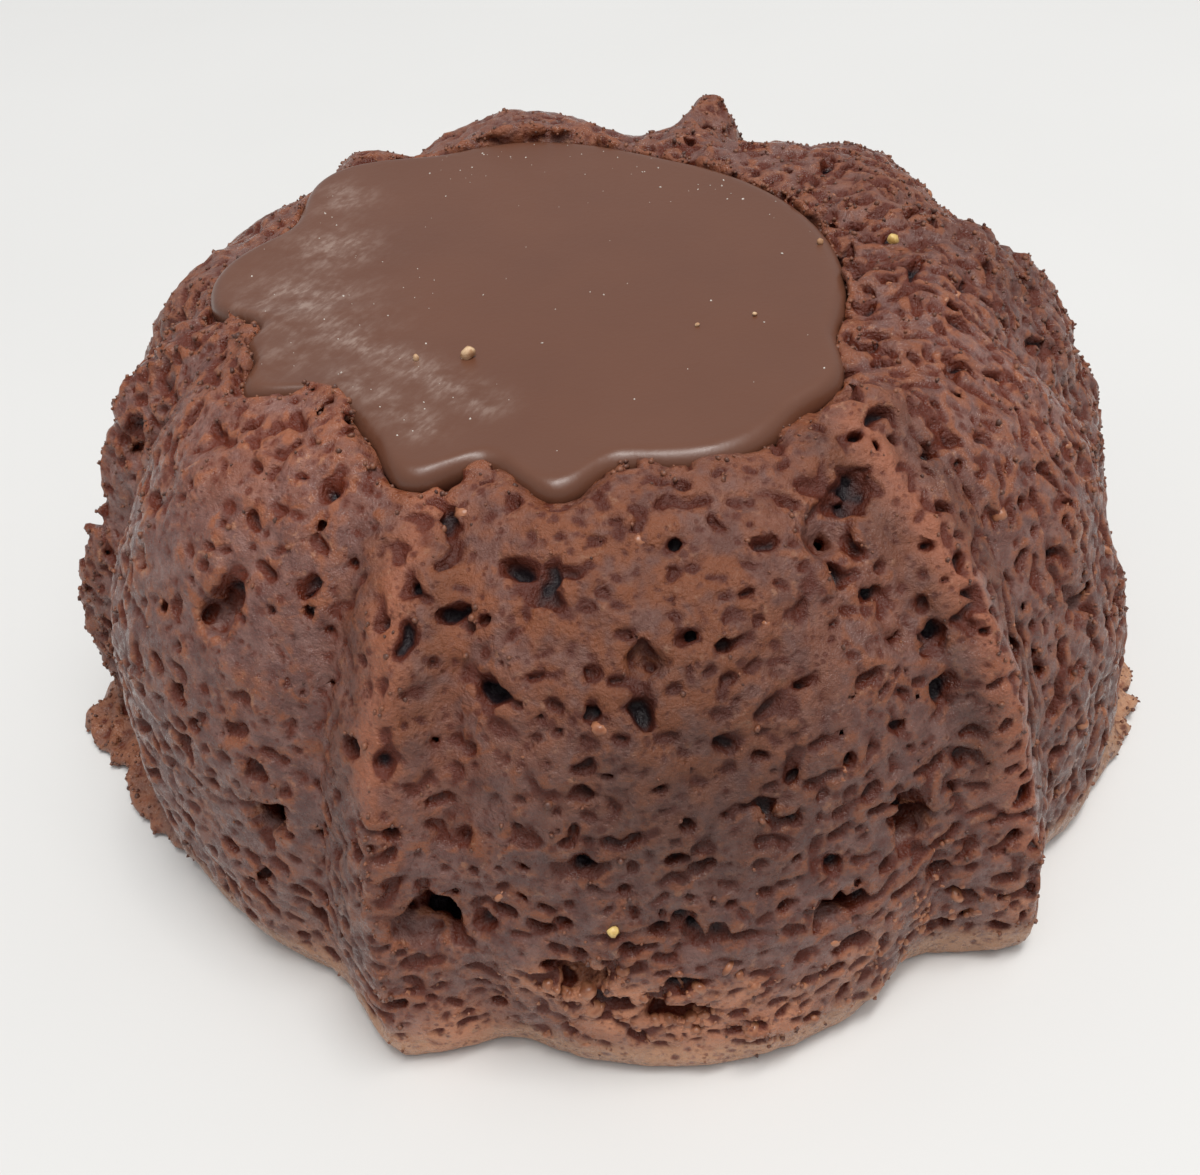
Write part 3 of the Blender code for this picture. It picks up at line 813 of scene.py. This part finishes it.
def from_segment(points, start, end):
    """How far the points are from the straight line between two places."""
    along = end - start
    reach = np.clip((points - start) @ along / (along @ along), 0.0, 1.0)
    return np.linalg.norm(points - start - reach[:, None] * along, axis=1)


def near_line(points, marked, half, share):
    """How strongly a marked line tells at these points."""
    line = placed(marked)
    total = np.zeros(len(points))
    for start, end in zip(line[:-1], line[1:]):
        total = np.maximum(total, fading(from_segment(points, start, end), half, share))
    return total


def bloom_at(points):
    """How much bloom lies on the pool at these points."""
    total = np.zeros(len(points))
    flat = points[:, :2]
    for x, y, spread, share in BLOOM_PLACES:
        away = np.hypot(flat[:, 0] - x * MM, flat[:, 1] - y * MM)
        total = np.maximum(total, fading(away, spread, share))
    for start, end, half, share in BLOOM_BANDS:
        away = from_segment(flat, np.array(start) * MM, np.array(end) * MM)
        total = np.maximum(total, fading(away, half, share))
    return total


def make_ganache(pool):
    """The pool again, with finer rings and spokes: a dished top, a round lip and a flat underside."""
    degrees = np.arange(POOL_SPOKES) * 360.0 / POOL_SPOKES
    waves = np.fft.rfft(pool.reach(degrees))
    waves = waves * np.exp(-((np.arange(len(waves)) / POOL_WAVES) ** 2))
    outline = np.fft.irfft(waves, POOL_SPOKES)
    inner = outline - pool.half
    rings = []
    for number in range(1, POOL_TOP_RINGS + 1):
        share = number / POOL_TOP_RINGS
        rings.append((inner * share, pool.top - pool.dish * (1.0 - share**3)))
    for number in range(1, POOL_LIP_STEPS + 1):
        turn = math.pi * number / POOL_LIP_STEPS
        height = pool.top - pool.half + pool.half * math.cos(turn)
        rings.append((inner + pool.half * math.sin(turn), height))
    for number in range(1, POOL_UNDER_RINGS):
        rings.append((inner * (1.0 - number / POOL_UNDER_RINGS), pool.bottom))
    turns = np.radians(degrees)
    points = [[[*pool.centre, pool.top - pool.dish]]]
    for radius, height in rings:
        x = pool.centre[0] + radius * np.cos(turns)
        y = pool.centre[1] + radius * np.sin(turns)
        points.append(np.stack([x, y, np.full(POOL_SPOKES, height)], axis=1))
    points.append([[*pool.centre, pool.bottom]])
    points = np.concatenate(points)
    spoke = np.arange(POOL_SPOKES)
    after = (spoke + 1) % POOL_SPOKES
    faces = [np.stack([np.zeros(POOL_SPOKES, int), 1 + spoke, 1 + after], axis=1)]
    for number in range(len(rings) - 1):
        a = 1 + number * POOL_SPOKES
        b = a + POOL_SPOKES
        faces.append(np.stack([a + spoke, b + spoke, b + after], axis=1))
        faces.append(np.stack([a + spoke, b + after, a + after], axis=1))
    a = 1 + (len(rings) - 1) * POOL_SPOKES
    last = np.full(POOL_SPOKES, len(points) - 1)
    faces.append(np.stack([a + spoke, last, a + after], axis=1))
    mesh = mesh_of("ganache_pool", points, np.concatenate(faces))
    mesh.shade_smooth()
    places = points_of(mesh)
    set_attribute(mesh, "bloom", bloom_at(places) * (places[:, 2] > pool.top - pool.half))
    return add_object("ganache_pool", mesh)


def mostly_small(size_range, count, draw):
    least, most = size_range
    return least + (most - least) * draw.random(count) ** 2


def round_lump(splits):
    """(points, triangles) of a ball 1 across."""
    shape = bmesh.new()
    bmesh.ops.create_icosphere(shape, subdivisions=splits, radius=0.5)
    points = np.array([v.co for v in shape.verts])
    faces = np.array([[v.index for v in f.verts] for f in shape.faces])
    shape.free()
    return points, faces


def make_grains(name, places, sizes, draw, splits=1, flatness=0.75):
    """Ragged lumps of these sizes, turned each its own way, as one piece."""
    ball, faces = round_lump(splits)
    count = len(places)
    ragged = 1.0 + (0.16 / splits) * draw.standard_normal((count, len(ball), 1))
    squeeze = draw.uniform(flatness * 0.8, 1.0, (count, 1, 3))
    lumps = ball[None] * ragged * squeeze * np.asarray(sizes)[:, None, None]
    w, x, y, z = np.moveaxis(draw.standard_normal((count, 4)), 1, 0)
    length = np.sqrt(w * w + x * x + y * y + z * z)
    w, x, y, z = w / length, x / length, y / length, z / length
    turns = np.empty((count, 3, 3))
    turns[:, 0] = np.stack([1 - 2 * (y * y + z * z), 2 * (x * y - z * w), 2 * (x * z + y * w)], axis=1)
    turns[:, 1] = np.stack([2 * (x * y + z * w), 1 - 2 * (x * x + z * z), 2 * (y * z - x * w)], axis=1)
    turns[:, 2] = np.stack([2 * (x * z - y * w), 2 * (y * z + x * w), 1 - 2 * (x * x + y * y)], axis=1)
    lumps = np.einsum("nij,nvj->nvi", turns, lumps) + np.asarray(places)[:, None]
    first = np.arange(count)[:, None, None] * len(ball)
    mesh = mesh_of(name, lumps.reshape(-1, 3), (faces[None] + first).reshape(-1, 3))
    mesh.shade_smooth()
    return add_object(name, mesh)


class Surface:
    """The crumb's points, with what was worked out for each."""

    def __init__(self, mesh):
        self.places = points_of(mesh)
        normals = np.empty(len(self.places) * 3, np.float32)
        mesh.vertex_normals.foreach_get("vector", normals)
        self.normals = normals.reshape(-1, 3)
        self.height = self.places[:, 2]
        self.angle = angle_of(self.places[:, 0], self.places[:, 1])
        self.near_solid = self.read(mesh, "near_solid")
        self.crest = self.read(mesh, "crest")
        self.depth = self.read(mesh, "depth_mm")

    def read(self, mesh, name):
        values = np.empty(len(self.places), np.float32)
        mesh.attributes[name].data.foreach_get("value", values)
        return values

    def strewn(self, weight, count, size_range, offset, draw):
        """(places, sizes) of grains set on the surface, most where the weight is high."""
        chosen = draw.choice(len(self.places), count, replace=False, p=weight / weight.sum())
        sizes = mostly_small(size_range, count, draw)
        at = self.places[chosen] + self.normals[chosen] * sizes[:, None] * offset
        at[:, 2] = np.maximum(at[:, 2], sizes * 0.5)
        return at, sizes


def loose_crumbs(surface, draw):
    """Small crumbs that cling to the cake, mostly on its coarse right and left sides and its foot."""
    angle = surface.angle
    height = surface.height
    coarse = round_swell(angle, *CRUMBY_RIGHT) * rising(height, 10.0, 8.0)
    coarse = np.maximum(coarse, round_swell(angle, *CRUMBY_LEFT))
    skirt = sum(round_swell(angle, *stretch) for stretch in CRUMBY_SKIRTS)
    weight = 0.12 + 1.4 * coarse + 1.2 * smooth_step((0.46 - surface.crest) / 0.1)
    weight = weight * rising(height, 1.0, 2.0) + 3.0 * skirt * falling(height, 3.5, 1.0)
    weight *= (height > 0.2 * MM) & (surface.depth < 0.2) & (surface.near_solid < 0.52)
    weight *= surface.normals[:, 2] > LOWEST_FACING
    at, sizes = surface.strewn(weight, LOOSE_CRUMBS, LOOSE_SIZE, 0.0, draw)
    return make_grains("loose_crumbs", at, sizes, draw)


def warm_grains(surface, draw):
    """Orange-brown grains in the crumb, most of them round the holes low on the front."""
    angle = surface.angle
    height = surface.height
    low = round_swell(angle, 264.0, 30.0) * falling(height, 13.0, 5.0)
    low += 0.7 * round_swell(angle, 287.0, 12.0) * falling(height, 12.0, 4.0)
    weight = 0.01 + 2.5 * low + 0.04 * round_swell(angle, 325.0, 24.0)
    weight *= (height > 3.0 * MM) & (surface.near_solid < 0.47)
    weight *= surface.normals[:, 2] > LOWEST_FACING
    at, sizes = surface.strewn(weight, WARM_GRAINS, WARM_GRAIN_SIZE, -0.33, draw)
    return make_grains("warm_grains", at, sizes, draw, splits=2, flatness=0.6)


def pale_specks(pool, draw):
    """Fine pale specks on the pool, most of them towards its back and right edge and in the bloom."""
    places = []
    while len(places) < SPECKS:
        turn = draw.uniform(0.0, 2.0 * math.pi)
        share = math.sqrt(draw.uniform(0.0, 1.0))
        reach = pool.reach(math.degrees(turn)) - pool.half
        x = pool.centre[0] + share * reach * math.cos(turn)
        y = pool.centre[1] + share * reach * math.sin(turn)
        place = np.array([[x, y, pool.top]])
        behind = rising(x * 0.5 + y, 4.0, 14.0)
        chance = 0.1 + 0.9 * behind * share**2 + 0.6 * bloom_at(place)[0]
        if draw.uniform() < chance:
            places.append((x, y, pool.height(x, y)))
    return make_grains("pale_specks", places, mostly_small(SPECK_SIZE, SPECKS, draw), draw, flatness=0.6)


def pool_crumbs(pool, draw):
    """The few light crumbs that lie on the pool."""
    marked = np.array(POOL_CRUMBS) * MM
    places = [(x, y, pool.height(x, y) + size * 0.25) for x, y, size in marked]
    return make_grains("pool_crumbs", places, marked[:, 2], draw, splits=2)


def gold_flecks(crumb, draw):
    """The two golden flecks on the crumb."""
    tree = tree_of(crumb)
    marked = np.array(GOLD_FLECKS) * MM
    places = [tree.find_nearest(Vector(fleck[:3]))[0] for fleck in marked]
    return make_grains("gold_flecks", places, marked[:, 3], draw, splits=2)


class Nodes:
    """Short ways to add and join a material's nodes."""

    def __init__(self, name):
        self.material = bpy.data.materials.new(name)
        self.material.use_nodes = True
        self.tree = self.material.node_tree
        self.shader = self.tree.nodes["Principled BSDF"]
        self.coordinates = self.tree.nodes.new("ShaderNodeTexCoord").outputs["Object"]

    def put(self, socket, value):
        if isinstance(value, bpy.types.NodeSocket):
            self.tree.links.new(value, socket)
        else:
            socket.default_value = (*value, 1.0) if socket.type == "RGBA" else value

    def finish(self, name, value):
        self.put(self.shader.inputs[name], value)

    def add(self, kind, inputs, **settings):
        """The outputs of a new node with these settings, and these values or links on its inputs."""
        node = self.tree.nodes.new("ShaderNode" + kind)
        for name, value in settings.items():
            setattr(node, name, value)
        for name, value in inputs.items():
            self.put(node.inputs[name], value)
        return node.outputs

    def noise(self, size, detail=2.0, roughness=0.5, turned=0.0, drawn_out=1.0):
        """Soft patches of this size in millimetres, drawn out along a direction in degrees."""
        place = self.coordinates
        if drawn_out != 1.0:
            place = self.mapped(place, (0.0, 0.0, -turned), (1.0, 1.0, 1.0))
            place = self.mapped(place, (0.0, 0.0, 0.0), (1.0 / drawn_out, 1.0, 1.0))
        inputs = {"Vector": place, "Scale": 1.0 / (size * MM), "Detail": detail, "Roughness": roughness}
        return self.add("TexNoise", inputs)["Fac"]

    def spots(self, spacing):
        """1 in the middle of small round spots, strewn about this many millimetres apart, and else 0."""
        inputs = {"Vector": self.coordinates, "Scale": 1.0 / (spacing * MM)}
        away = self.add("TexVoronoi", inputs)["Distance"]
        uneven = self.times(self.noise(spacing * 0.45, 2.0), 0.55)
        spot = self.ranged(self.maths("ADD", away, uneven), 0.66, 0.4)
        return self.times(spot, self.ranged(self.noise(spacing * 2.6, 1.0), 0.4, 0.56))

    def mapped(self, vector, turn, scale):
        turn = [math.radians(degrees) for degrees in turn]
        return self.add("Mapping", {"Vector": vector, "Rotation": turn, "Scale": scale})["Vector"]

    def attribute(self, name):
        return self.add("Attribute", {}, attribute_name=name)["Fac"]

    def maths(self, operation, first, second):
        return self.add("Math", {0: first, 1: second}, operation=operation)[0]

    def times(self, first, second):
        return self.maths("MULTIPLY", first, second)

    def greater(self, first, second):
        return self.maths("MAXIMUM", first, second)

    def ranged(self, value, low, high, to_low=0.0, to_high=1.0):
        inputs = {"Value": value, "From Min": low, "From Max": high, "To Min": to_low, "To Max": to_high}
        return self.add("MapRange", inputs, interpolation_type="SMOOTHSTEP")["Result"]

    def mixed(self, share, first, second):
        """This share of the second colour in the first. Inputs 6 and 7 and output 2 are the colours."""
        return self.add("Mix", {0: share, 6: first, 7: second}, data_type="RGBA")[2]

    def bump(self, height, distance, strength):
        inputs = {"Strength": strength, "Distance": distance, "Height": height}
        return self.add("Bump", inputs)["Normal"]


# The crumb's colours.
SKIN = (0.128, 0.054, 0.045)
PALE_SKIN = (0.207, 0.103, 0.085)
# WARM_CRUMB is the crumb's warmer colour, and also paints the highlight on the raised edges between the
# pits.
WARM_CRUMB = (0.29, 0.08, 0.022)
CORD_CRUMB = (0.305, 0.105, 0.056)
TAN_CRUMB = (0.36, 0.165, 0.095)
RIM_CRUMB = (0.43, 0.225, 0.13)
AMBER_CRUMB = (0.52, 0.215, 0.115)
BACK_SKIN = (0.215, 0.098, 0.056)
# Painted highlight: a pale mauve-grey along the edge beside the right front ridge.
EDGE_HIGHLIGHT_COLOUR = (0.36, 0.27, 0.26)
# Painted shade in the pits and dents: a dark red, and near black in the deepest pits.
PIT_SHADE_RED = (0.11, 0.02, 0.008)
DEEP_PIT_SHADE = (0.013, 0.006, 0.009)

# The ganache's colours.
GANACHE_DARK = (0.12, 0.046, 0.026)
GANACHE_LIGHT = (0.148, 0.058, 0.032)
BLOOM_COLOUR = (0.56, 0.44, 0.38)

# The looks of the small things: name, darker and lighter colour, roughness.
LOOSE_LOOK = ("loose_crumb_look", (0.085, 0.034, 0.024), (0.235, 0.085, 0.042), 0.5)
WARM_LOOK = ("warm_grain_look", (0.24, 0.082, 0.038), (0.4, 0.165, 0.085), 0.35)
SPECK_LOOK = ("pale_speck_look", (0.5, 0.42, 0.37), (0.72, 0.66, 0.6), 0.45)
POOL_CRUMB_LOOK = ("pool_crumb_look", (0.42, 0.22, 0.11), (0.72, 0.5, 0.3), 0.6)
GOLD_LOOK = ("gold_fleck_look", (0.5, 0.3, 0.08), (0.78, 0.56, 0.2), 0.45)


def crumb_material():
    nodes = Nodes("crumb_look")
    near = nodes.attribute("near_solid")
    depth = nodes.attribute("depth_mm")
    crest = nodes.attribute("crest")
    patches = nodes.noise(4.0, 3.0, 0.6)
    mottles = nodes.noise(1.5, 3.0, 0.6)
    grain = nodes.noise(0.7, 3.0, 0.6)
    warm = nodes.greater(nodes.times(nodes.ranged(crest, 0.47, 0.37), 0.6), nodes.attribute("warmth"))
    warm = nodes.greater(warm, nodes.times(nodes.ranged(patches, 0.52, 0.7), 0.7))
    warm = nodes.times(warm, nodes.ranged(nodes.noise(2.1, 2.0, 0.6), 0.36, 0.6, 0.25, 1.0))
    # Painted highlight: the raised crumb between the pits, where little solid lies near, is made warmer
    # and lighter.
    edge = nodes.times(nodes.ranged(near, 0.49, 0.39), nodes.ranged(mottles, 0.3, 0.55))
    warm = nodes.greater(warm, nodes.times(edge, 0.7))
    cords = nodes.times(nodes.attribute("cords"), nodes.ranged(mottles, 0.3, 0.6, 0.5, 1.0))
    tan = nodes.times(nodes.ranged(grain, 0.56, 0.7), nodes.ranged(near, 0.54, 0.44))
    tan = nodes.times(tan, nodes.ranged(patches, 0.42, 0.6, 0.15, 0.8))
    rim = nodes.times(nodes.attribute("rim"), nodes.ranged(grain, 0.25, 0.5))
    flecks = nodes.ranged(nodes.noise(1.1, 2.0, 0.6), 0.32, 0.46)
    dents = nodes.times(nodes.spots(1.15), 0.9)
    dents = nodes.greater(dents, nodes.times(nodes.spots(0.55), 0.7))
    layers = (  # each over those before it
        # The warm crumb, with the painted highlight on the raised edges between the pits.
        (warm, WARM_CRUMB),
        (cords, CORD_CRUMB),
        (tan, TAN_CRUMB),
        # Painted highlight along the edge beside the right front ridge.
        (nodes.attribute("edge_highlight"), EDGE_HIGHLIGHT_COLOUR),
        (nodes.times(nodes.attribute("back"), 0.75), BACK_SKIN),
        (rim, RIM_CRUMB),
        (nodes.times(nodes.attribute("amber"), flecks), AMBER_CRUMB),
        # Painted shade in the small dents that the bump presses in.
        (dents, PIT_SHADE_RED),
        # Painted shade: darker as a pit goes deeper or is closed in by more crumb, near black in the
        # deepest.
        (nodes.greater(nodes.ranged(depth, 0.05, 0.3), nodes.ranged(near, 0.53, 0.65)), PIT_SHADE_RED),
        (nodes.greater(nodes.ranged(depth, 0.6, 1.25), nodes.ranged(near, 0.72, 0.88)), DEEP_PIT_SHADE),
    )
    colour = nodes.mixed(nodes.ranged(mottles, 0.35, 0.68), SKIN, PALE_SKIN)
    for share, tint in layers:
        colour = nodes.mixed(share, colour, tint)
    toned = nodes.add("HueSaturation", {"Value": nodes.attribute("tone"), "Color": colour})["Color"]
    nodes.finish("Base Color", toned)
    wet = nodes.ranged(nodes.noise(0.9, 2.0), 0.44, 0.54)
    wet = nodes.times(wet, nodes.ranged(nodes.attribute("warmth"), 0.15, 0.6, 1.0, 0.0))
    nodes.finish("Roughness", nodes.ranged(wet, 0.0, 1.0, 0.44, 0.14))
    nodes.finish("Specular IOR Level", 0.42)
    lumps = nodes.times(nodes.noise(0.4, 4.0, 0.65), 0.27)
    relief = nodes.maths("SUBTRACT", lumps, nodes.times(dents, 0.05))
    relief = nodes.times(relief, nodes.ranged(wet, 0.0, 1.0, 1.0, 0.85))
    nodes.finish("Normal", nodes.bump(relief, 1.0 * MM, 1.0))
    return nodes.material


def ganache_material():
    nodes = Nodes("ganache_look")
    patches = nodes.noise(9.0, 3.0)
    colour = nodes.mixed(patches, GANACHE_DARK, GANACHE_LIGHT)
    strokes = nodes.noise(0.55, 3.0, 0.65, turned=52.0, drawn_out=2.6)
    strokes = nodes.ranged(strokes, 0.4, 0.68)
    cloud = nodes.ranged(nodes.noise(2.4, 3.0, 0.6), 0.3, 0.62)
    bloom = nodes.times(nodes.attribute("bloom"), cloud)
    bloom = nodes.times(bloom, nodes.maths("ADD", nodes.times(strokes, 0.75), 0.25))
    colour = nodes.mixed(nodes.times(bloom, 0.42), colour, BLOOM_COLOUR)
    nodes.finish("Base Color", colour)
    nodes.finish("Roughness", nodes.ranged(nodes.noise(2.5, 4.0, 0.65), 0.3, 0.7, 0.32, 0.4))
    relief = nodes.maths("ADD", nodes.noise(0.5, 3.0, 0.6), nodes.times(bloom, 1.5))
    nodes.finish("Normal", nodes.bump(relief, 0.03 * MM, 0.6))
    return nodes.material


def grain_material(name, dark, light, roughness):
    nodes = Nodes(name)
    share = nodes.ranged(nodes.noise(0.6, 2.0), 0.35, 0.65)
    nodes.finish("Base Color", nodes.mixed(share, dark, light))
    nodes.finish("Roughness", roughness)
    nodes.finish("Normal", nodes.bump(nodes.noise(0.15, 2.0), 0.04 * MM, 0.6))
    return nodes.material


def add_camera():
    data = bpy.data.cameras.new("camera")
    data.sensor_width = SENSOR_WIDTH
    data.lens = LENS
    data.clip_start = 5.0 * MM
    data.clip_end = 10.0
    camera = add_object("camera", data)
    turn = Matrix.Identity(3)
    for degrees, axis in ((CAMERA_HEADING, "Z"), (90.0 - CAMERA_DOWN, "X"), (CAMERA_ROLL, "Z")):
        turn = turn @ Matrix.Rotation(math.radians(degrees), 3, axis)
    camera.rotation_euler = turn.to_euler()
    camera.location = CAMERA_PLACE
    bpy.context.scene.camera = camera


def add_area_light(name, place, size, power, colour):
    data = bpy.data.lights.new(name, "AREA")
    data.shape = "RECTANGLE"
    data.size, data.size_y = size
    data.energy = power
    data.color = colour
    light = add_object(name, data)
    light.location = place
    light.rotation_euler = (-Vector(place)).to_track_quat("-Z", "Y").to_euler()


def add_surroundings():
    floor_mesh = bpy.data.meshes.new("floor")
    corners = [(x * FLOOR_REACH, y * FLOOR_REACH, 0.0) for x, y in ((-1, -1), (1, -1), (1, 1), (-1, 1))]
    floor_mesh.from_pydata(corners, [], [(0, 1, 2, 3)])
    floor = add_object("floor", floor_mesh)
    nodes = Nodes("floor_look")
    nodes.finish("Base Color", nodes.mixed(nodes.noise(60.0, 3.0), *FLOOR_COLOURS))
    nodes.finish("Roughness", 0.6)
    floor_mesh.materials.append(nodes.material)
    world = bpy.data.worlds.new("world")
    world.use_nodes = True
    background = world.node_tree.nodes["Background"]
    background.inputs["Color"].default_value = SKY_COLOUR
    background.inputs["Strength"].default_value = SKY_STRENGTH
    bpy.context.scene.world = world
    for light in LIGHTS:
        add_area_light(*light)


def finish_piece(piece, material):
    piece.data.materials.clear()
    piece.data.materials.append(material)
    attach(piece, "root")


def main():
    add_camera()
    add_surroundings()
    pool = Pool(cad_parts["ganache"])
    crumb = make_crumb(pool)
    finish_piece(crumb, crumb_material())
    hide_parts("cake")
    ganache = make_ganache(pool)
    finish_piece(ganache, ganache_material())
    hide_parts("ganache")
    draw = np.random.default_rng(SEED + 1)
    surface = Surface(crumb.data)
    small_things = (
        (loose_crumbs(surface, draw), LOOSE_LOOK, "crumb"),
        (warm_grains(surface, draw), WARM_LOOK, "crumb"),
        (pale_specks(pool, draw), SPECK_LOOK, "ganache"),
        (pool_crumbs(pool, draw), POOL_CRUMB_LOOK, "crumb"),
        (gold_flecks(crumb, draw), GOLD_LOOK, "crumb"),
    )
    for piece, look, slot in small_things:
        finish_piece(piece, grain_material(*look))
    bpy.context.scene.view_settings.view_transform = "Standard"


main()
